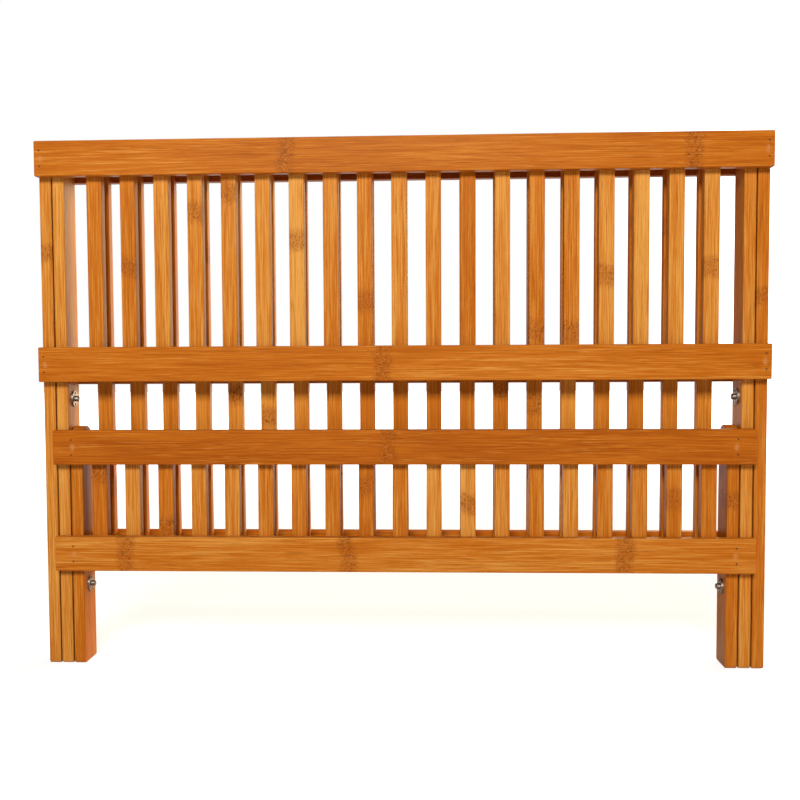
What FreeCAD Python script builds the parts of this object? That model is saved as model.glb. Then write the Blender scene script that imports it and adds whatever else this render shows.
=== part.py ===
"""Folding two-tier dish drying rack, folded flat and standing on its feet.

Three slatted frames turn on bolts that run along X. The front and rear frames cross at the centre
pivot, and the lower frame hangs inside the rear frame at the lower pivot. X is the width, Y the
depth with the front at -Y, and Z the height. The origin is on the floor under the middle.
"""
import os

import FreeCAD, Part
import Sketcher
from FreeCAD import Placement, Rotation, Vector

SIZES = {
    "rack_width": (520, "length of the front rails, the widest pieces"),
    "rack_height": (379, "length of the front and rear legs"),
    "leg_thickness": (8.5, "legs, along X"),
    "leg_depth": (25, "legs, along Y"),
    "rail_thickness": (8, "rails, along Y"),
    "rail_height": (25, "rails, along Z"),
    "rail_overhang": (0.6, "rail end past the outer face of the legs it crosses"),
    "centre_gap": (0.8, "side play between the front and rear legs"),
    "lower_gap": (1, "side play between the rear and lower legs"),
    "face_gap": (0.3, "play between a rail and the legs of another frame"),
    "stop_gap": (0.6, "front stop rail to the rear legs when open"),
    "sweep_gap": (0.3, "lower frame to the stop rail, and to the bottom rail when open"),
    "centre_pivot": (194.5, "height of the bolts between front and rear legs"),
    "lower_pivot": (57, "height of the bolts between rear and lower legs"),
    "middle_drop": (2.5, "rear middle rail below the front stop rail"),
    "lower_peek": (2, "lower legs above their top rail"),
    "lower_rail_base": (70, "underside of the lower bottom rail"),
    "slat_width": (11, "slats, along X"),
    "slat_thickness": (8, "slats, along Y"),
    "slat_count": (19, "slats in each frame"),
    "slat_margin": (7, "outermost slat to the lower leg"),
    "slat_setback": (1.5, "slat end short of the rail edge"),
    "top_round": (2, "rounding of the tall legs' upper ends"),
    "foot_round": (2, "rounding of the feet"),
    "lower_round": (12, "rounding of the lower legs' upper ends"),
    "edge_ease": (0.8, "rounding of the legs' and rails' long edges"),
    "slat_ease": (0.6, "rounding of the slats' edges"),
    "brad_bore": (1.2, "diameter of a brad"),
    "brad_play": (0.04, "hole wall to brad"),
    "brad_spread": (11, "between the two brads at a rail end"),
    "brad_edge": (3.4, "brad to the outer face of its leg"),
    "brad_sink": (1, "leg brad below the rail's face"),
    "brad_grip": (10, "leg brad inside the leg"),
    "brad_cover": (2, "wood left in front of a slat brad's point"),
    "slat_brad_sink": (0.3, "slat brad below the slat's face"),
    "bolt_bore": (4.2, "diameter of a bolt's shank"),
    "bolt_play": (0.1, "hole wall to shank, and tee nut to shank"),
    "head_width": (9, "diameter of a bolt's head"),
    "head_height": (2.5, "thickness of a bolt's head"),
    "head_sink": (0.4, "bolt head below the leg's face"),
    "head_play": (0.3, "sunk seat's wall to head"),
    "bolt_end": (3, "bolt past the tee nut's flange"),
    "bolt_nose": (0.6, "cone at the bolt's end"),
    "socket_width": (2.9, "hexagon socket across its corners"),
    "socket_depth": (1.5, "depth of the hexagon socket"),
    "flange_width": (11.6, "diameter of a tee nut's flange"),
    "flange_thickness": (1.2, "tee nut's flange"),
    "barrel_width": (5.8, "diameter of a tee nut's barrel"),
    "barrel_short": (1.5, "leg wood in front of the barrel"),
    "barrel_play": (0.05, "hole wall to barrel"),
    "prong_length": (3, "tee nut's prongs, pressed into the leg"),
    "prong_width": (1.8, "prongs, around the flange"),
    "prong_thickness": (0.8, "prongs, along the flange's radius"),
    "notch_width": (2.2, "openings left in the flange by the prongs, around it"),
    "notch_depth": (1.5, "openings left in the flange, along its radius"),
}
PRONG_COUNT = 4

# Derived places, as expressions over the sheet.
HALF_DEPTH = "Sizes.leg_depth / 2"
THIN_DEPTH = "Sizes.leg_depth - Sizes.face_gap"
FRONT_OUT = "(Sizes.rack_width / 2 - Sizes.rail_overhang)"
REAR_OUT = f"({FRONT_OUT} - Sizes.leg_thickness - Sizes.centre_gap)"
LOWER_OUT = f"({REAR_OUT} - Sizes.leg_thickness - Sizes.lower_gap)"
RAIL_FACE = f"({HALF_DEPTH} + Sizes.rail_thickness)"
LOWER_RAIL_LENGTH = f"2 * ({REAR_OUT} + Sizes.rail_overhang)"
LOWER_RAIL_INSET = f"({REAR_OUT} + Sizes.rail_overhang - {LOWER_OUT})"

STOP_RISE = f"({HALF_DEPTH} - Sizes.face_gap + Sizes.stop_gap)"
TOP_RAIL_BASE = "(Sizes.rack_height - Sizes.rail_height)"
STOP_RAIL_BASE = f"(Sizes.centre_pivot + {STOP_RISE})"
MIDDLE_RAIL_BASE = f"({STOP_RAIL_BASE} - Sizes.middle_drop)"
BOTTOM_RAIL_BASE = f"(Sizes.lower_pivot + {HALF_DEPTH} - Sizes.face_gap + Sizes.sweep_gap)"

# The opened stop rail reaches down to the centre pivot less a rail face, so the lower legs' ends
# keep their swing about the lower pivot under its near edge.
OPEN_STOP_REACH = f"(Sizes.centre_pivot - {RAIL_FACE} - Sizes.sweep_gap - Sizes.lower_pivot)"
LOWER_LEG_LENGTH = f"(Sizes.lower_pivot + sqrt({OPEN_STOP_REACH}^2 + {STOP_RISE}^2))"
LOWER_TOP_RAIL_BASE = f"({LOWER_LEG_LENGTH} - Sizes.lower_peek - Sizes.rail_height)"
LOWER_BOTTOM_RAIL_BASE = "Sizes.lower_rail_base"

FIRST_SLAT = f"({LOWER_OUT} - Sizes.leg_thickness - Sizes.slat_margin - Sizes.slat_width / 2)"
SLAT_PITCH = f"(2 * {FIRST_SLAT} / (Sizes.slat_count - 1))"

LEG_BRAD = "(Sizes.rail_thickness + Sizes.brad_grip - Sizes.brad_sink)"
RAIL_BITE = "(Sizes.rail_thickness - Sizes.brad_cover)"
SLAT_BRAD = f"({RAIL_BITE} + Sizes.slat_thickness - Sizes.slat_brad_sink)"
BRAD_HOLE = "(Sizes.brad_bore / 2 + Sizes.brad_play)"

doc = FreeCAD.newDocument("DishRack")
sheet = doc.addObject("Spreadsheet::Sheet", "Sizes")
for row, (alias, (value, note)) in enumerate(SIZES.items(), start=1):
    sheet.set(f"A{row}", note)
    sheet.set(f"B{row}", str(value))
    sheet.setAlias(f"B{row}", alias)
doc.recompute()

slat_count = int(SIZES["slat_count"][0])
nodes = []


def keep(piece, label):
    """Names a finished sub-part, so that it is written out."""
    piece.Label = label
    nodes.append(piece)
    return piece


def place(piece, x, y, z, rotation=Rotation()):
    """Turns a piece once and ties its position to the sheet."""
    piece.Placement = Placement(Vector(), rotation)
    for letter, value in zip("xyz", (x, y, z)):
        piece.setExpression(f"Placement.Base.{letter}", str(value))


def new_sketch(body, role, name):
    """A sketch on one of the body's own origin planes."""
    sketch = body.newObject("Sketcher::SketchObject", name)
    plane = next(f for f in body.Origin.OriginFeatures if f.Role == role)
    sketch.AttachmentSupport = [(plane, "")]
    sketch.MapMode = "FlatFace"
    return sketch


def bind(sketch, constraint, name, expression):
    """Adds a named driving constraint and ties it to the sheet."""
    sketch.addConstraint(constraint)
    sketch.renameConstraint(sketch.ConstraintCount - 1, name)
    sketch.setExpression(f"Constraints.{name}", expression)


def draw_rectangle(sketch, width, height):
    """A rectangle with one corner at the sketch's origin."""
    corners = [Vector(0, 0), Vector(10, 0), Vector(10, 10), Vector(0, 10)]
    for start, end in zip(corners, corners[1:] + corners[:1]):
        sketch.addGeometry(Part.LineSegment(start, end), False)
    for line in range(4):
        sketch.addConstraint(Sketcher.Constraint("Coincident", line, 2, (line + 1) % 4, 1))
    for line, direction in enumerate(("Horizontal", "Vertical", "Horizontal", "Vertical")):
        sketch.addConstraint(Sketcher.Constraint(direction, line))
    sketch.addConstraint(Sketcher.Constraint("Coincident", 0, 1, -1, 1))
    bind(sketch, Sketcher.Constraint("DistanceX", 0, 1, 0, 2, 10), "width", width)
    bind(sketch, Sketcher.Constraint("DistanceY", 1, 1, 1, 2, 10), "height", height)


def draw_circle(sketch, across, up, radius):
    """A circle whose centre lies at (across, up) from the sketch's origin."""
    index = sketch.addGeometry(Part.Circle(Vector(5, 5), Vector(0, 0, 1), 1), False)
    bind(sketch, Sketcher.Constraint("Radius", index, 1), f"radius{index}", radius)
    bind(sketch, Sketcher.Constraint("DistanceX", -1, 1, index, 3, 5), f"across{index}", across)
    bind(sketch, Sketcher.Constraint("DistanceY", -1, 1, index, 3, 5), f"up{index}", up)


def pad_rectangle(body, role, width, height, length):
    """The body's block: a rectangle on an origin plane, pushed out along the plane's axis."""
    sketch = new_sketch(body, role, "Section")
    draw_rectangle(sketch, width, height)
    pad = body.newObject("PartDesign::Pad", "Block")
    pad.Profile = sketch
    pad.setExpression("Length", length)
    doc.recompute()
    return pad


def cut(body, role, circles, depth=None, outward=False, shift=None):
    """Round holes. Each circle is (across, up, radius); with no depth they go right through."""
    sketch = new_sketch(body, role, "Holes")
    if shift:
        sketch.setExpression("AttachmentOffset.Base.z", shift)
    for across, up, radius in circles:
        draw_circle(sketch, across, up, radius)
    pocket = body.newObject("PartDesign::Pocket", "Cut")
    pocket.Profile = sketch
    pocket.Reversed = outward
    if depth:
        pocket.setExpression("Length", depth)
    else:
        pocket.Type = "ThroughAll"
    before = body.Shape.Volume
    doc.recompute()
    if not body.Shape.Volume < before - 1e-6:
        raise RuntimeError(f"a hole in {body.Label} cuts nothing")
    return pocket


def round_edges(body, base, names, radius):
    """Fillets the named edges, or every edge where no names are given."""
    fillet = body.newObject("PartDesign::Fillet", "Round")
    fillet.Base = (base, names)
    fillet.UseAllEdges = not names
    fillet.setExpression("Radius", radius)
    doc.recompute()
    return fillet


def edges_where(shape, test):
    """Names of the edges whose bounding box passes the test."""
    return [
        f"Edge{number}"
        for number, edge in enumerate(shape.Edges, start=1)
        if test(edge.BoundBox)
    ]


def rail_brads(base):
    """Heights of the two brads that hold a rail's end."""
    middle = f"{base} + Sizes.rail_height / 2"
    return [f"{middle} + Sizes.brad_spread / 2", f"{middle} - Sizes.brad_spread / 2"]


def make_leg(label, length, depth, upper_round, rail_bases, head_at=None, nut_at=None):
    """A leg with x from its outer face inwards, y from its rail face, and z up from the foot."""
    body = doc.addObject("PartDesign::Body", label)
    pad = pad_rectangle(body, "YZ_Plane", depth, length, "Sizes.leg_thickness")
    block = pad.Shape.BoundBox
    flat = 0.01
    corners = edges_where(pad.Shape, lambda b: b.ZMin > block.ZMax - flat and b.YLength < flat)
    upper = round_edges(body, pad, corners, upper_round)
    corners = edges_where(upper.Shape, lambda b: b.ZMax < flat and b.YLength < flat)
    lower = round_edges(body, upper, corners, "Sizes.foot_round")
    rims = edges_where(lower.Shape, lambda b: b.XMax < flat or b.XMin > block.XMax - flat)
    round_edges(body, lower, rims, "Sizes.edge_ease")
    for pivot in filter(None, (head_at, nut_at)):
        shank = "Sizes.bolt_bore / 2 + Sizes.bolt_play"
        cut(body, "YZ_Plane", [(HALF_DEPTH, pivot, shank)], outward=True)
    if head_at:
        seat = "Sizes.head_width / 2 + Sizes.head_play"
        deep = "Sizes.head_height + Sizes.head_sink"
        cut(body, "YZ_Plane", [(HALF_DEPTH, head_at, seat)], deep, outward=True)
    if nut_at:
        barrel = "Sizes.barrel_width / 2 + Sizes.barrel_play"
        deep = "Sizes.leg_thickness - Sizes.barrel_short"
        cut(body, "YZ_Plane", [(HALF_DEPTH, nut_at, barrel)], deep, shift="Sizes.leg_thickness")
    holes = [("Sizes.brad_edge", up, BRAD_HOLE) for base in rail_bases for up in rail_brads(base)]
    cut(body, "XZ_Plane", holes, "Sizes.brad_grip")
    return body


def make_rail(label, length, inset):
    """A rail with x along it, y from its outer face to the legs, and z up from its underside."""
    body = doc.addObject("PartDesign::Body", label)
    pad = pad_rectangle(body, "YZ_Plane", "Sizes.rail_thickness", "Sizes.rail_height", length)
    round_edges(body, pad, [], "Sizes.edge_ease")
    ends = [f"{inset} + Sizes.brad_edge", f"{length} - {inset} - Sizes.brad_edge"]
    holes = [(across, up, BRAD_HOLE) for across in ends for up in rail_brads("0")]
    cut(body, "XZ_Plane", holes)
    first = (f"{length} / 2 - {FIRST_SLAT}", "Sizes.rail_height / 2", BRAD_HOLE)
    pocket = cut(
        body, "XZ_Plane", [first], RAIL_BITE, outward=True, shift="-Sizes.rail_thickness"
    )
    pattern = body.newObject("PartDesign::LinearPattern", "SlatHoles")
    pattern.Originals = [pocket]
    pattern.Direction = (pocket.Profile[0], ["H_Axis"])
    pattern.Occurrences = slat_count
    pattern.setExpression("Length", f"2 * {FIRST_SLAT}")
    body.Tip = pattern
    return keep(body, label)


def make_slat(label, base, end, rail_bases):
    """A slat with x across it, y through it, and z up from its lower end."""
    body = doc.addObject("PartDesign::Body", label)
    length = f"{end} - {base} - 2 * Sizes.slat_setback"
    pad = pad_rectangle(body, "XY_Plane", "Sizes.slat_width", "Sizes.slat_thickness", length)
    round_edges(body, pad, [], "Sizes.slat_ease")
    foot = f"{base} - Sizes.slat_setback"
    holes = [
        ("Sizes.slat_width / 2", f"{rail} + Sizes.rail_height / 2 - {foot}", BRAD_HOLE)
        for rail in rail_bases
    ]
    cut(body, "XZ_Plane", holes)
    body.Label = label
    return body


def slat_centre(index):
    """Where slat number index stands along X."""
    return f"{index} * {SLAT_PITCH} - {FIRST_SLAT}"


def make_slats(prefix, face, rail_bases):
    """One frame's slats, left to right. The rails are given from the lowest to the highest."""
    top = f"({rail_bases[-1]} + Sizes.rail_height)"
    slats = []
    for index in range(slat_count):
        slat = make_slat(f"{prefix}_{index + 1:02d}", rail_bases[0], top, rail_bases)
        across = f"{slat_centre(index)} - Sizes.slat_width / 2"
        place(slat, across, face, f"{rail_bases[0]} + Sizes.slat_setback")
        slats.append(slat)
    return slats


def make_cylinder(name, radius, height):
    cylinder = doc.addObject("Part::Cylinder", name)
    cylinder.setExpression("Radius", radius)
    cylinder.setExpression("Height", height)
    return cylinder


ALONG_X = Rotation(Vector(0, 1, 0), 90)
ALONG_Y = Rotation(Vector(1, 0, 0), -90)
ABOUT = Rotation(Vector(0, 0, 1), 180)


def join(name, pieces):
    fuse = doc.addObject("Part::MultiFuse", name)
    fuse.Shapes = pieces
    return fuse


def mirror(piece, name):
    """The same piece on the other side of the middle plane."""
    copy = doc.addObject("Part::Mirroring", name)
    copy.Source = piece
    copy.Normal = (1, 0, 0)
    return copy


def group(label, pieces):
    compound = doc.addObject("Part::Compound", label)
    compound.Links = pieces
    return keep(compound, label)


def make_brads(label, leg_out, rail_bases, leg_brad_y, slat_brad_y):
    """Two brads at each rail's end and one through each slat into each rail."""
    brads = []
    for base in rail_bases:
        for side in (-1, 1):
            for height in rail_brads(base):
                brad = make_cylinder("LegBrad", "Sizes.brad_bore / 2", LEG_BRAD)
                place(brad, f"{side} * ({leg_out} - Sizes.brad_edge)", leg_brad_y, height, ALONG_Y)
                brads.append(brad)
        for index in range(slat_count):
            brad = make_cylinder("SlatBrad", "Sizes.brad_bore / 2", SLAT_BRAD)
            middle = f"{base} + Sizes.rail_height / 2"
            place(brad, slat_centre(index), slat_brad_y, middle, ALONG_Y)
            brads.append(brad)
    return group(label, brads)


def make_bolts(label, outer, height, gap):
    """A left bolt, head outwards, and its mirror image. Each clamps two legs and a tee nut."""
    head_x = f"-{outer} + Sizes.head_sink"
    shank_x = f"{head_x} + Sizes.head_height"
    reach = f"-{outer} + 2 * Sizes.leg_thickness + {gap} + Sizes.flange_thickness + Sizes.bolt_end"
    head = make_cylinder("Head", "Sizes.head_width / 2", "Sizes.head_height")
    place(head, head_x, 0, height, ALONG_X)
    shank_length = f"{reach} - Sizes.bolt_nose - ({head_x})"
    shank = make_cylinder("Shank", "Sizes.bolt_bore / 2", shank_length)
    place(shank, head_x, 0, height, ALONG_X)
    nose = doc.addObject("Part::Cone", "Nose")
    nose.setExpression("Radius1", "Sizes.bolt_bore / 2")
    nose.setExpression("Radius2", "Sizes.bolt_bore / 2 - Sizes.bolt_nose")
    nose.setExpression("Height", "Sizes.bolt_nose")
    place(nose, f"{reach} - Sizes.bolt_nose", 0, height, ALONG_X)
    socket = doc.addObject("Part::Prism", "Socket")
    socket.Polygon = 6
    socket.setExpression("Circumradius", "Sizes.socket_width / 2")
    socket.setExpression("Height", "Sizes.socket_depth")
    place(socket, head_x, 0, height, ALONG_X)
    bolt = doc.addObject("Part::Cut", "Bolt")
    bolt.Base = join("BoltBlank", [head, shank, nose])
    bolt.Tool = socket
    return group(label, [bolt, mirror(bolt, "BoltMirror")])


def make_tooth(name, kind, base_x, radius, height, spin):
    """A block standing along X on the tee nut's flange, its inner side at this radius."""
    across = "Sizes.notch_width" if kind == "notch" else "Sizes.prong_width"
    tooth = doc.addObject("Part::Box", name)
    tooth.setExpression("Length", across)
    tooth.setExpression("Width", "Sizes.notch_depth" if kind == "notch" else "Sizes.prong_thickness")
    tooth.Placement = Placement(Vector(), spin * ALONG_X)
    outward = spin.multVec(ALONG_X.multVec(Vector(0, 1, 0)))
    around = spin.multVec(ALONG_X.multVec(Vector(1, 0, 0)))
    tooth.setExpression("Placement.Base.x", base_x)
    tooth.setExpression("Placement.Base.y", f"{outward.y} * {radius} - {around.y} * {across} / 2")
    tooth.setExpression(
        "Placement.Base.z", f"{height} + {outward.z} * {radius} - {around.z} * {across} / 2"
    )
    return tooth


def make_tee_nuts(label, inner, height):
    """A left tee nut, its flange on the leg's inner face, and its mirror image."""
    flange = make_cylinder("Flange", "Sizes.flange_width / 2", "Sizes.flange_thickness")
    place(flange, f"-{inner}", 0, height, ALONG_X)
    barrel_length = "(Sizes.leg_thickness - Sizes.barrel_short)"
    barrel = make_cylinder("Barrel", "Sizes.barrel_width / 2", barrel_length)
    place(barrel, f"-{inner} - {barrel_length}", 0, height, ALONG_X)
    prongs = []
    notches = []
    for number in range(PRONG_COUNT):
        spin = Rotation(Vector(1, 0, 0), 360 * number / PRONG_COUNT)
        rim = "(Sizes.flange_width / 2 - Sizes.prong_thickness)"
        prong = make_tooth("Prong", "prong", f"-{inner} - Sizes.prong_length", rim, height, spin)
        prong.setExpression("Height", "Sizes.prong_length + Sizes.flange_thickness")
        prongs.append(prong)
        notch_start = f"({rim} - Sizes.notch_depth)"
        notch = make_tooth("Notch", "notch", f"-{inner} - Sizes.flange_thickness", notch_start, height, spin)
        notch.setExpression("Height", "3 * Sizes.flange_thickness")
        notches.append(notch)
    blank = join("NutBlank", [flange, barrel] + prongs)
    rim_disc = make_cylinder(
        "RimDisc", "Sizes.flange_width / 2", "2 * Sizes.leg_thickness + Sizes.flange_thickness"
    )
    place(rim_disc, f"-{inner} - 2 * Sizes.leg_thickness", 0, height, ALONG_X)
    trimmed = doc.addObject("Part::Common", "NutTrimmed")
    trimmed.Base = blank
    trimmed.Tool = rim_disc
    bore = make_cylinder(
        "NutBore", "Sizes.bolt_bore / 2 + Sizes.bolt_play", "2 * Sizes.leg_thickness"
    )
    place(bore, f"-{inner} - Sizes.leg_thickness", 0, height, ALONG_X)
    nut = doc.addObject("Part::Cut", "TeeNut")
    nut.Base = trimmed
    nut.Tool = join("NutOpenings", [bore] + notches)
    return group(label, [nut, mirror(nut, "TeeNutMirror")])


front_rails = [STOP_RAIL_BASE, TOP_RAIL_BASE]
rear_rails = [BOTTOM_RAIL_BASE, MIDDLE_RAIL_BASE, TOP_RAIL_BASE]
lower_rails = [LOWER_BOTTOM_RAIL_BASE, LOWER_TOP_RAIL_BASE]

# Legs. The rails of the rear frame are behind it, so its leg is turned about and is the right one.
front_leg = make_leg(
    "front_leg_left", "Sizes.rack_height", "Sizes.leg_depth", "Sizes.top_round", front_rails,
    head_at="Sizes.centre_pivot",
)
place(front_leg, f"-{FRONT_OUT}", f"-{HALF_DEPTH}", 0)
rear_leg = make_leg(
    "rear_leg_right", "Sizes.rack_height", THIN_DEPTH, "Sizes.top_round", rear_rails,
    head_at="Sizes.lower_pivot", nut_at="Sizes.centre_pivot",
)
place(rear_leg, REAR_OUT, HALF_DEPTH, 0, ABOUT)
lower_leg = make_leg(
    "lower_leg_left", LOWER_LEG_LENGTH, THIN_DEPTH, "Sizes.lower_round", lower_rails,
    nut_at="Sizes.lower_pivot",
)
place(lower_leg, f"-{LOWER_OUT}", f"-{HALF_DEPTH}", 0)
for made, label, other in (
    (front_leg, "front_leg_left", "front_leg_right"),
    (rear_leg, "rear_leg_right", "rear_leg_left"),
    (lower_leg, "lower_leg_left", "lower_leg_right"),
):
    keep(made, label)
    keep(mirror(made, other), other)

# Rails
for label, base in (("front_top_rail", TOP_RAIL_BASE), ("front_stop_rail", STOP_RAIL_BASE)):
    rail = make_rail(label, "Sizes.rack_width", "Sizes.rail_overhang")
    place(rail, "-Sizes.rack_width / 2", f"-{RAIL_FACE}", base)
for label, base in (
    ("rear_top_rail", TOP_RAIL_BASE),
    ("rear_middle_rail", MIDDLE_RAIL_BASE),
    ("rear_bottom_rail", BOTTOM_RAIL_BASE),
):
    rail = make_rail(label, f"2 * {REAR_OUT}", "0")
    place(rail, REAR_OUT, RAIL_FACE, base, ABOUT)
for label, base in (
    ("lower_top_rail", LOWER_TOP_RAIL_BASE),
    ("lower_bottom_rail", LOWER_BOTTOM_RAIL_BASE),
):
    rail = make_rail(label, LOWER_RAIL_LENGTH, LOWER_RAIL_INSET)
    place(rail, f"-({LOWER_RAIL_LENGTH}) / 2", f"-{RAIL_FACE}", base)

# Slats
for slat in make_slats("front_slat", f"-{HALF_DEPTH}", front_rails):
    keep(slat, slat.Label)
for slat in make_slats("rear_slat", f"{HALF_DEPTH} - Sizes.slat_thickness", rear_rails):
    keep(slat, slat.Label)
group("lower_slats", make_slats("lower_slat", f"-{HALF_DEPTH}", lower_rails))

# Fasteners
front_leg_brad = f"-{RAIL_FACE} + Sizes.brad_sink"
front_slat_brad = f"-{RAIL_FACE} + Sizes.brad_cover"
rear_leg_brad = f"{RAIL_FACE} - Sizes.brad_sink - {LEG_BRAD}"
rear_slat_brad = f"{RAIL_FACE} - Sizes.brad_cover - {SLAT_BRAD}"
make_brads("front_frame_brads", FRONT_OUT, front_rails, front_leg_brad, front_slat_brad)
make_brads("rear_frame_brads", REAR_OUT, rear_rails, rear_leg_brad, rear_slat_brad)
make_brads("lower_frame_brads", LOWER_OUT, lower_rails, front_leg_brad, front_slat_brad)
make_bolts("centre_pivot_bolts", FRONT_OUT, "Sizes.centre_pivot", "Sizes.centre_gap")
make_bolts("lower_pivot_bolts", REAR_OUT, "Sizes.lower_pivot", "Sizes.lower_gap")
make_tee_nuts("centre_tee_nuts", f"({REAR_OUT} - Sizes.leg_thickness)", "Sizes.centre_pivot")
make_tee_nuts("lower_tee_nuts", f"({LOWER_OUT} - Sizes.leg_thickness)", "Sizes.lower_pivot")

doc.recompute()
failed = [o.Label for o in doc.Objects if {"Invalid", "Error"} & set(o.State)]
failed += [node.Label for node in nodes if node.Shape.isNull() or not node.Shape.isValid()]
if failed:
    raise RuntimeError(f"failed: {failed}")

os.makedirs("parts", exist_ok=True)
for node in nodes:
    node.Shape.exportStep(f"parts/{node.Label}.step")
print(len(nodes), "nodes")
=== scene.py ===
"""Looks of the folding two-tier bamboo dish drying rack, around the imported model."""

import math

import bpy
from mathutils import Matrix, Vector


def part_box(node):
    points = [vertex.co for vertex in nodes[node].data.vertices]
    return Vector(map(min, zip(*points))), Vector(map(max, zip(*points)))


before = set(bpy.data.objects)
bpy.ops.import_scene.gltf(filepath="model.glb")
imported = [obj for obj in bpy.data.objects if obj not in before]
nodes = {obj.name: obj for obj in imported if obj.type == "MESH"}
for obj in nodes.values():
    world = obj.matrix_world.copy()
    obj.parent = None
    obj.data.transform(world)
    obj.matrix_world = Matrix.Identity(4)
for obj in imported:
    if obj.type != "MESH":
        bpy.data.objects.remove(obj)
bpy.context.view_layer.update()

# Lengths are in metres, in the model's own frame. Colours are linear.
SLAT_COUNT = 19


def middle_x(node_name):
    """X of the middle of a CAD node."""
    low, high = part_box(node_name)
    return (low.x + high.x) / 2


FIRST_SLAT_X = middle_x("front_slat_01")
SLAT_PITCH = (middle_x(f"front_slat_{SLAT_COUNT:02d}") - FIRST_SLAT_X) / (SLAT_COUNT - 1)

# Caramelised bamboo, from deep caramel to pale sapwood, and for the rear slats a brighter copy: painted
# light that offsets the shade they sit in.
DEEP = (0.300, 0.062, 0.002)
MIDDLE = (0.450, 0.120, 0.006)
PALE = (0.620, 0.285, 0.055)
REAR_SLAT_PAINTED_LIGHT_SHADES = ((0.320, 0.066, 0.002), (0.480, 0.134, 0.007), (0.640, 0.262, 0.040))
FIBRE = (0.150, 0.030, 0.002)
KNOT_SCAR = (0.170, 0.040, 0.002)
KNOT_FLECK = (0.620, 0.270, 0.080)
FILLER = (0.520, 0.210, 0.070)

# How pale each rail and leg is, from 0 to 1, and the places along it of its culm joints.
RAILS = {
    "front_top_rail": (0.42, (-0.080, 0.205)),
    "front_stop_rail": (0.46, (-0.012,)),
    "lower_top_rail": (0.26, (-0.008,)),
    "lower_bottom_rail": (0.60, (-0.199, -0.038, 0.159)),
    # The rear top rail's very deep tone is painted shade, darkening the band seen under the front top
    # rail.
    "rear_top_rail": (0.10, (-0.150, 0.090)),
    "rear_middle_rail": (0.40, (0.060,)),
    "rear_bottom_rail": (0.40, (-0.100, 0.175)),
}
LEGS = {
    "front_leg_left": (0.64, (0.300,)),
    "front_leg_right": (0.56, (0.266,)),
    "rear_leg_left": (0.86, ()),
    "rear_leg_right": (0.70, ()),
    "lower_leg_left": (0.48, ()),
    "lower_leg_right": (0.48, (0.121,)),
}

# The deepest and the palest that a slat may be. Each slat falls somewhere between, at random.
SLAT_TONES = (0.48, 0.88)

# Heights of the culm joints that show on some slats, by slat number.
FRONT_KNOTS = {
    2: 0.290, 4: 0.328, 5: 0.342, 7: 0.308, 9: 0.265,
    14: 0.244, 15: 0.242, 16: 0.281, 19: 0.286,
}
REAR_KNOTS = {
    1: 0.129, 4: 0.300, 5: 0.197, 6: 0.180, 9: 0.150,
    12: 0.120, 13: 0.200, 14: 0.188, 17: 0.318, 18: 0.316,
}
LOWER_KNOTS = {1: 0.140, 3: 0.101, 9: 0.131, 12: 0.118, 18: 0.122}

# Taken off what the clouds, strips and fibres add to a piece's tone, a little over their average.
GRAIN_MIDDLE = 1.59

# Half the length along the grain of a culm joint's scar.
RAIL_KNOT_REACH = 0.0085
SLAT_KNOT_REACH = 0.0105

# Where each piece's grain starts in the noise, so that no two pieces match.
RAIL_SEED = 1.7
RAIL_SEED_STEP = 2.3
LEG_SEED = 31.3
LEG_SEED_STEP = 1.9
FRONT_SLAT_SEED = 51.1
REAR_SLAT_SEED = 83.7
LOWER_SLAT_SEED = 113.9
SLAT_SEED_STEP = 0.731

# Steel: plating, its clouds, roughness and how strongly it is specked.
ZINC = ((0.44, 0.38, 0.31), (0.17, 0.13, 0.10), 0.28, 0.5)
DULL_WIRE = ((0.20, 0.15, 0.11), (0.08, 0.05, 0.04), 0.45, 0.6)

# The floor's glow rises from near to far between these two distances behind the rack. Where the
# camera sees the floor, it glows by a further amount.
FLOOR_HALF = 6.0
FLOOR_DROP = 0.0003
GLOW_START = 0.5
GLOW_END = 1.6
NEAR_GLOW = 0.08
FAR_GLOW = 1.10
SEEN_GLOW = 0.58

# The softbox: what it points at, how far off it stands, and its angles above and beside that point.
KEY_TARGET = (0.0, 0.0, 0.2)
KEY_DISTANCE = 2.2
KEY_LIFT = math.radians(27)
KEY_SIDE = math.radians(-5)
KEY_WIDTH = 0.90
KEY_HEIGHT = 0.50
KEY_WATTS = 50.0

# The room is dim and warm, with one bright corner to the rack's right, behind it and a little above.
BRIGHT_CORNER = (0.80, 0.56, 0.20)
CORNER_EDGE = 0.64
CORNER_CORE = 0.95
ROOM_STRENGTH = 0.04
CORNER_STRENGTH = 6.00
WARM_WHITE = (1.0, 0.82, 0.58)
WHITE = (1.0, 1.0, 1.0)

# The camera stands level with the stop rail and looks a little down and to the left. The turn,
# pitch and roll are in radians, and the lens and sensor in millimetres.
CAMERA_PLACE = (0.0280, -0.7725, 0.2247)
CAMERA_TURN = 0.048426
CAMERA_PITCH = -0.054816
CAMERA_ROLL = 0.005124
CAMERA_LENS = 47.78
CAMERA_SENSOR = 36.0
CAMERA_SHIFT = (0.0156, 0.0180)


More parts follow.
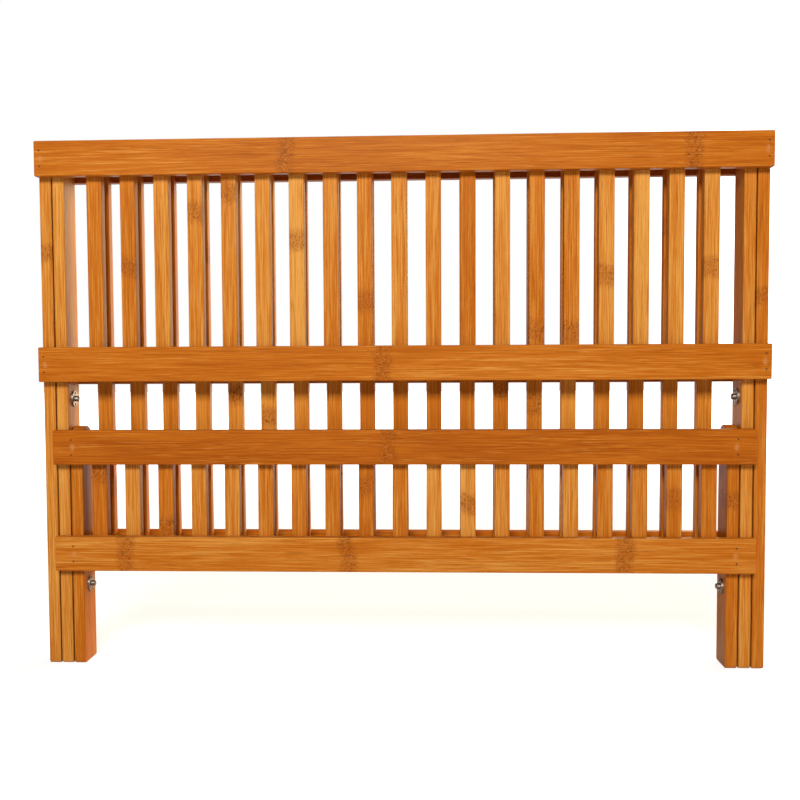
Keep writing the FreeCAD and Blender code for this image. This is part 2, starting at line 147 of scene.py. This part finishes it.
class Tree:
    """A material's node tree, with short ways to add nodes to it."""

    def __init__(self, name):
        self.material = bpy.data.materials.new(name)
        self.material.use_nodes = True
        self.nodes = self.material.node_tree.nodes
        self.links = self.material.node_tree.links
        self.shader = self.nodes["Principled BSDF"]

    def put(self, socket, value):
        if isinstance(value, bpy.types.NodeSocket):
            self.links.new(value, socket)
        else:
            socket.default_value = value

    def add(self, kind, inputs, **settings):
        node = self.nodes.new(kind)
        for key, value in settings.items():
            setattr(node, key, value)
        for key, value in inputs.items():
            self.put(node.inputs[key], value)
        return node

    def math(self, operation, *values):
        node = self.nodes.new("ShaderNodeMath")
        node.operation = operation
        for place, value in enumerate(values):
            self.put(node.inputs[place], value)
        return node.outputs[0]

    def mix(self, factor, first, second, blend="MIX"):
        node = self.nodes.new("ShaderNodeMix")
        node.data_type = "RGBA"
        node.blend_type = blend
        self.put(node.inputs[0], factor)
        self.put(node.inputs[6], opaque(first))
        self.put(node.inputs[7], opaque(second))
        return node.outputs[2]

    def noise(self, vector, scale, detail=2.0, roughness=0.5):
        """Noise from 0 to 1 that varies at each axis's own scale, in features a metre."""
        mapping = self.add("ShaderNodeMapping", {"Vector": vector, "Scale": scale})
        noise = self.add(
            "ShaderNodeTexNoise",
            {"Vector": mapping.outputs[0], "Scale": 1.0, "Detail": detail, "Roughness": roughness},
        )
        return noise.outputs["Fac"]

    def span(self, value, low, high, start=0.0, end=1.0):
        """value taken smoothly from low..high to start..end, and held beyond them."""
        node = self.add(
            "ShaderNodeMapRange",
            {"Value": value, "From Min": low, "From Max": high, "To Min": start, "To Max": end},
            interpolation_type="SMOOTHSTEP",
        )
        return node.outputs[0]

    def steps(self, factor, values):
        """values[i] for factor from i / n to (i + 1) / n."""
        node = self.add("ShaderNodeValToRGB", {"Fac": factor})
        ramp = node.color_ramp
        ramp.interpolation = "CONSTANT"
        for place, value in enumerate(values):
            if place < 2:
                stop = ramp.elements[place]
                stop.position = place / len(values)
            else:
                stop = ramp.elements.new(place / len(values))
            stop.color = (value, value, value, 1.0)
        return node.outputs[0]


def opaque(value):
    """A three-part colour with its alpha; a socket as it is."""
    return (*value, 1.0) if isinstance(value, tuple) and len(value) == 3 else value


def along_scale(run, along, across):
    """Noise scale for grain that runs along X or Z."""
    return (along, across, across) if run == "X" else (across, across, along)


def knot_band(tree, along, marks, moved, run, reach):
    """0 to 1: how much of a culm joint's scar there is here, at the marks along the run."""
    wander = tree.noise(moved, along_scale(run, 20.0, 160.0), detail=3.0)
    shift = tree.math("MULTIPLY_ADD", wander, 0.010, -0.005)
    place = tree.math("ADD", along, shift)
    total = None
    for mark in marks:
        gap = tree.math("ABSOLUTE", tree.math("SUBTRACT", place, mark))
        band = tree.span(gap, reach * 0.35, reach, 1.0, 0.0)
        total = band if total is None else tree.math("MAXIMUM", total, band)
    return total


def grain_colour(tree, moved, run, tone, shades):
    """Wide clouds, strips a few millimetres wide and fine fibres. Returns the colour and the fibres."""
    cloud = tree.noise(moved, along_scale(run, 5.0, 50.0), detail=3.0)
    strip = tree.noise(moved, along_scale(run, 6.0, 360.0), detail=3.0, roughness=0.6)
    fibre = tree.noise(moved, along_scale(run, 26.0, 1500.0), detail=4.0, roughness=0.7)
    spread = tree.math("MULTIPLY_ADD", cloud, 0.7, tone)
    spread = tree.math("MULTIPLY_ADD", strip, 0.5, spread)
    spread = tree.math("MULTIPLY_ADD", fibre, 1.9, spread)
    level = tree.math("SUBTRACT", spread, GRAIN_MIDDLE)
    ramp = tree.add("ShaderNodeValToRGB", {"Fac": level})
    deep, middle, pale = shades
    stops = ramp.color_ramp.elements
    stops[0].position = 0.0
    stops[0].color = opaque(deep)
    stops[1].position = 1.0
    stops[1].color = opaque(pale)
    stops.new(0.5).color = opaque(middle)
    return ramp.outputs[0], fibre


def add_dashes(tree, colour, moved, run):
    """Short fibre ends, dark ones and pale ones; the pale ones are partly the bamboo's own and partly
    painted highlight where fibres catch the light. Returns the colour and the dark ones.
    """
    dash = tree.noise(moved, along_scale(run, 45.0, 1500.0), detail=2.0, roughness=0.6)
    patches = tree.span(tree.noise(moved, along_scale(run, 12.0, 90.0), detail=2.0), 0.30, 0.65)
    dark = tree.math("MULTIPLY", tree.span(dash, 0.57, 0.70), patches)
    colour = tree.mix(tree.math("MULTIPLY", dark, 0.50), colour, FIBRE)
    # Pale fibre ends: partly real pale fibres, partly painted highlight of fibres catching the light.
    pale = tree.math("MULTIPLY", tree.span(dash, 0.30, 0.42, 1.0, 0.0), patches)
    colour = tree.mix(tree.math("MULTIPLY", pale, 0.45), colour, PALE)
    return colour, dark


def add_scars(tree, colour, band, moved, run):
    """Culm joints: a hazy band across the grain, with pale flecks and dark specks."""
    speckle = tree.noise(moved, along_scale(run, 560.0, 1100.0), detail=3.0, roughness=0.7)
    fleck = tree.noise(moved, along_scale(run, 800.0, 900.0), detail=2.0, roughness=0.6)
    scar = tree.math("MULTIPLY", band, tree.span(speckle, 0.50, 0.62))
    pale = tree.math("MULTIPLY", band, tree.span(fleck, 0.56, 0.66))
    colour = tree.mix(tree.math("MULTIPLY", band, 0.40), colour, DEEP)
    colour = tree.mix(tree.math("MULTIPLY", pale, 0.30), colour, KNOT_FLECK)
    return tree.mix(tree.math("MULTIPLY", scar, 0.82), colour, KNOT_SCAR)


def add_filler(tree, colour, moved, x, z, blotches):
    """Pale filler smeared between the brads at a rail's ends."""
    for centre_x, centre_z in blotches:
        offset_x = tree.math("MULTIPLY", tree.math("SUBTRACT", x, centre_x), 1.5)
        offset_z = tree.math("SUBTRACT", z, centre_z)
        square = tree.math("MULTIPLY", offset_x, offset_x)
        distance = tree.math("SQRT", tree.math("MULTIPLY_ADD", offset_z, offset_z, square))
        ragged = tree.noise(moved, (400.0, 400.0, 400.0), detail=3.0)
        reach = tree.math("MULTIPLY_ADD", ragged, 0.004, distance)
        smear = tree.span(reach, 0.0028, 0.0058, 0.55, 0.0)
        colour = tree.mix(smear, colour, FILLER)
    return colour


def add_end_grain(tree, colour, moved, normal, run):
    """Sawn ends are darker, with the fibre bundles as dots. Returns the colour and where the ends are."""
    facing = tree.add("ShaderNodeSeparateXYZ", {"Vector": normal})
    end = tree.math("ABSOLUTE", facing.outputs["X" if run == "X" else "Z"])
    is_end = tree.span(end, 0.75, 0.95)
    dots = tree.noise(moved, (1500.0, 1500.0, 1500.0), detail=2.0, roughness=0.7)
    end_colour = tree.mix(tree.span(dots, 0.45, 0.62), MIDDLE, DEEP)
    return tree.mix(tree.math("MULTIPLY", is_end, 0.7), colour, end_colour), is_end


def add_lacquer(tree, moved, run, is_end, fibre, dark):
    """Satin lacquer, a little uneven, with the fibres just felt through it."""
    uneven = tree.noise(moved, along_scale(run, 18.0, 120.0), detail=3.0)
    roughness = tree.math("MULTIPLY_ADD", uneven, 0.20, 0.32)
    roughness = tree.math("MULTIPLY_ADD", is_end, 0.25, roughness)
    relief = tree.math("MULTIPLY_ADD", fibre, 0.7, tree.math("MULTIPLY", dark, -0.5))
    bump = tree.add("ShaderNodeBump", {"Height": relief, "Strength": 0.35, "Distance": 0.00012})
    tree.put(tree.shader.inputs["Roughness"], roughness)
    tree.put(tree.shader.inputs["Normal"], bump.outputs[0])
    tree.shader.inputs["Specular IOR Level"].default_value = 0.14
    tree.shader.inputs["Specular Tint"].default_value = (1.0, 0.72, 0.38, 1.0)
    tree.shader.inputs["Coat Weight"].default_value = 0.03
    tree.shader.inputs["Coat Roughness"].default_value = 0.16


def bamboo(name, run, tone, seed, marks=(), knots=None, filler=(), shades=(DEEP, MIDDLE, PALE)):
    """Lacquered bamboo with its grain along run, X or Z.

    tone is one number, or the deepest and palest that a slat may be. marks are the culm joints
    along a rail or leg, and knots gives those of single slats. filler lists the X and Z of the
    blotches between a rail's brads.
    """
    tree = Tree(name)
    coordinates = tree.add("ShaderNodeTexCoord", {})
    place = coordinates.outputs["Object"]
    x, y, z = tree.add("ShaderNodeSeparateXYZ", {"Vector": place}).outputs
    along = x if run == "X" else z
    is_slat = isinstance(tone, tuple)

    if is_slat:
        deepest, palest = tone
        start = 0.5 - FIRST_SLAT_X / SLAT_PITCH
        index = tree.math("FLOOR", tree.math("MULTIPLY_ADD", x, 1 / SLAT_PITCH, start))
        share = tree.math("DIVIDE", tree.math("ADD", index, 0.5), float(SLAT_COUNT))
        own = tree.math("ADD", index, seed)
        chance = tree.add("ShaderNodeTexWhiteNoise", {"W": own}, noise_dimensions="1D")
        tone = tree.math("MULTIPLY_ADD", chance.outputs["Value"], palest - deepest, deepest)
        seed = tree.math("MULTIPLY_ADD", index, SLAT_SEED_STEP, seed)
    offset = tree.add("ShaderNodeCombineXYZ", {"X": seed, "Y": seed, "Z": seed}).outputs[0]
    moved = tree.add("ShaderNodeVectorMath", {0: place, 1: offset}, operation="ADD").outputs[0]

    colour, fibre = grain_colour(tree, moved, run, tone, shades)
    colour, dark = add_dashes(tree, colour, moved, run)
    if marks:
        band = knot_band(tree, along, marks, moved, run, RAIL_KNOT_REACH)
        colour = add_scars(tree, colour, band, moved, run)
    elif knots:
        height = tree.steps(share, [knots.get(number + 1, 0.0) for number in range(SLAT_COUNT)])
        band = knot_band(tree, along, [height], moved, run, SLAT_KNOT_REACH)
        colour = add_scars(tree, colour, band, moved, run)
    colour = add_filler(tree, colour, moved, x, z, filler)
    colour, is_end = add_end_grain(tree, colour, moved, coordinates.outputs["Normal"], run)
    add_lacquer(tree, moved, run, is_end, fibre, dark)
    tree.put(tree.shader.inputs["Base Color"], colour)
    return tree.material


def plated_steel(name, bright, dark, roughness, tarnish):
    """Zinc-plated or dull wire steel, with cloudy plating and small dark specks."""
    tree = Tree(name)
    place = tree.add("ShaderNodeTexCoord", {}).outputs["Object"]
    cloud = tree.noise(place, (350.0, 350.0, 350.0), detail=4.0, roughness=0.6)
    specks = tree.noise(place, (2400.0, 2400.0, 2400.0), detail=2.0)
    colour = tree.mix(tree.span(cloud, 0.35, 0.70), bright, dark)
    colour = tree.mix(tree.math("MULTIPLY", tree.span(specks, 0.60, 0.72), tarnish), colour, FIBRE)
    tree.put(tree.shader.inputs["Base Color"], colour)
    tree.put(tree.shader.inputs["Roughness"], tree.math("MULTIPLY_ADD", cloud, 0.25, roughness))
    bump = tree.add("ShaderNodeBump", {"Height": specks, "Strength": 0.25, "Distance": 0.00008})
    tree.put(tree.shader.inputs["Normal"], bump.outputs[0])
    tree.shader.inputs["Metallic"].default_value = 1.0
    return tree.material


def dress(node_name, material):
    """Gives every slot of a CAD node this material."""
    mesh = nodes[node_name].data
    if not mesh.materials:
        mesh.materials.append(material)
    for place in range(len(mesh.materials)):
        mesh.materials[place] = material


def brad_blotches(rail):
    """Centres, in X and Z, of the filler between the brads that hold a rail to its two legs."""
    low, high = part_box(rail)
    which_frame = rail.split("_")[0]
    legs = [f"{which_frame}_leg_{side}" for side in ("left", "right")]
    return [(middle_x(leg), (low.z + high.z) / 2) for leg in legs]


def dress_rack():
    """Bamboo on every rail, leg and slat, and steel on the hardware."""
    for number, (rail, (tone, marks)) in enumerate(RAILS.items()):
        seed = RAIL_SEED + RAIL_SEED_STEP * number
        dress(rail, bamboo(f"{rail}_bamboo", "X", tone, seed, marks, filler=brad_blotches(rail)))
    for number, (leg, (tone, marks)) in enumerate(LEGS.items()):
        seed = LEG_SEED + LEG_SEED_STEP * number
        dress(leg, bamboo(f"{leg}_bamboo", "Z", tone, seed, marks))
    front = bamboo("front_slat_bamboo", "Z", SLAT_TONES, FRONT_SLAT_SEED, knots=FRONT_KNOTS)
    # The rear slats take the brighter copy of the bamboo colours, painted light against the shade of
    # their recess.
    rear = bamboo(
        "rear_slat_bamboo", "Z", SLAT_TONES, REAR_SLAT_SEED, knots=REAR_KNOTS, shades=REAR_SLAT_PAINTED_LIGHT_SHADES
    )
    lower = bamboo("lower_slat_bamboo", "Z", SLAT_TONES, LOWER_SLAT_SEED, knots=LOWER_KNOTS)
    for number in range(1, SLAT_COUNT + 1):
        dress(f"front_slat_{number:02d}", front)
        dress(f"rear_slat_{number:02d}", rear)
    dress("lower_slats", lower)
    zinc = plated_steel("zinc_plate", *ZINC)
    wire = plated_steel("dull_wire", *DULL_WIRE)
    for steel in ("centre_pivot_bolts", "centre_tee_nuts", "lower_pivot_bolts", "lower_tee_nuts"):
        dress(steel, zinc)
    for brads in ("front_frame_brads", "rear_frame_brads", "lower_frame_brads"):
        dress(brads, wire)


def add_floor():
    """A big pale floor. It glows far behind the rack and where the camera sees it, to stay near white."""
    mesh = bpy.data.meshes.new("floor")
    corners = [
        (-FLOOR_HALF, -FLOOR_HALF, -FLOOR_DROP),
        (FLOOR_HALF, -FLOOR_HALF, -FLOOR_DROP),
        (FLOOR_HALF, FLOOR_HALF, -FLOOR_DROP),
        (-FLOOR_HALF, FLOOR_HALF, -FLOOR_DROP),
    ]
    mesh.from_pydata(corners, [], [(0, 1, 2, 3)])
    floor = bpy.data.objects.new("floor", mesh)
    bpy.context.scene.collection.objects.link(floor)
    tree = Tree("pale_floor")
    place = tree.add("ShaderNodeTexCoord", {}).outputs["Object"]
    mottle = tree.noise(place, (3.0, 3.0, 3.0), detail=2.0)
    tree.put(tree.shader.inputs["Base Color"], tree.mix(mottle, (0.60, 0.60, 0.60), (0.56, 0.56, 0.56)))
    tree.shader.inputs["Roughness"].default_value = 0.9
    tree.shader.inputs["Specular IOR Level"].default_value = 0.1
    tree.shader.inputs["Emission Color"].default_value = opaque(WHITE)
    seen = tree.add("ShaderNodeLightPath", {}).outputs["Is Camera Ray"]
    parts = tree.add("ShaderNodeSeparateXYZ", {"Vector": place})
    glow = tree.span(parts.outputs["Y"], GLOW_START, GLOW_END, NEAR_GLOW, FAR_GLOW)
    strength = tree.math("MULTIPLY_ADD", seen, SEEN_GLOW, glow)
    tree.put(tree.shader.inputs["Emission Strength"], strength)
    mesh.materials.append(tree.material)


def add_key_light():
    """One softbox in front of the rack, above it and a little to its left."""
    light = bpy.data.lights.new("key_softbox", "AREA")
    light.shape = "RECTANGLE"
    light.size = KEY_WIDTH
    light.size_y = KEY_HEIGHT
    light.energy = KEY_WATTS
    softbox = bpy.data.objects.new("key_softbox", light)
    away = KEY_DISTANCE * math.cos(KEY_LIFT)
    softbox.location = (
        away * math.sin(KEY_SIDE),
        -away * math.cos(KEY_SIDE),
        KEY_TARGET[2] + KEY_DISTANCE * math.sin(KEY_LIFT),
    )
    direction = Vector(KEY_TARGET) - softbox.location
    softbox.rotation_euler = direction.to_track_quat("-Z", "Y").to_euler()
    softbox.visible_camera = False
    bpy.context.scene.collection.objects.link(softbox)


def light_world():
    """White where the camera looks; for all else, a dim warm room with one bright corner."""
    world = bpy.data.worlds.new("studio")
    world.use_nodes = True
    bpy.context.scene.world = world
    tree = world.node_tree
    background = tree.nodes["Background"]
    tint = tree.nodes.new("ShaderNodeMix")
    tint.data_type = "RGBA"
    tint.inputs[6].default_value = opaque(WARM_WHITE)
    tint.inputs[7].default_value = opaque(WHITE)
    direction = tree.nodes.new("ShaderNodeTexCoord")
    towards = tree.nodes.new("ShaderNodeVectorMath")
    towards.operation = "DOT_PRODUCT"
    towards.inputs[1].default_value = BRIGHT_CORNER
    room = tree.nodes.new("ShaderNodeMapRange")
    room.inputs["From Min"].default_value = CORNER_EDGE
    room.inputs["From Max"].default_value = CORNER_CORE
    room.inputs["To Min"].default_value = ROOM_STRENGTH
    room.inputs["To Max"].default_value = CORNER_STRENGTH
    ray = tree.nodes.new("ShaderNodeLightPath")
    strength = tree.nodes.new("ShaderNodeMath")
    strength.operation = "MAXIMUM"
    tree.links.new(ray.outputs["Is Camera Ray"], tint.inputs[0])
    tree.links.new(tint.outputs[2], background.inputs["Color"])
    tree.links.new(direction.outputs["Generated"], towards.inputs[0])
    tree.links.new(towards.outputs["Value"], room.inputs["Value"])
    tree.links.new(room.outputs[0], strength.inputs[0])
    tree.links.new(ray.outputs["Is Camera Ray"], strength.inputs[1])
    tree.links.new(strength.outputs[0], background.inputs["Strength"])


def add_camera():
    """The camera, upright and facing +Y before it is turned."""
    data = bpy.data.cameras.new("camera")
    data.sensor_width = CAMERA_SENSOR
    data.lens = CAMERA_LENS
    data.shift_x, data.shift_y = CAMERA_SHIFT
    data.clip_start = 0.05
    camera = bpy.data.objects.new("camera", data)
    turn = Matrix.Rotation(CAMERA_TURN, 3, "Z")
    pitch = Matrix.Rotation(CAMERA_PITCH, 3, "X")
    roll = Matrix.Rotation(CAMERA_ROLL, 3, "Y")
    upright = Matrix.Rotation(math.pi / 2, 3, "X")
    camera.rotation_euler = (turn @ pitch @ roll @ upright).to_euler()
    camera.location = CAMERA_PLACE
    bpy.context.scene.collection.objects.link(camera)
    bpy.context.scene.camera = camera


dress_rack()
add_floor()
add_key_light()
light_world()
add_camera()
bpy.context.scene.view_settings.view_transform = "Standard"
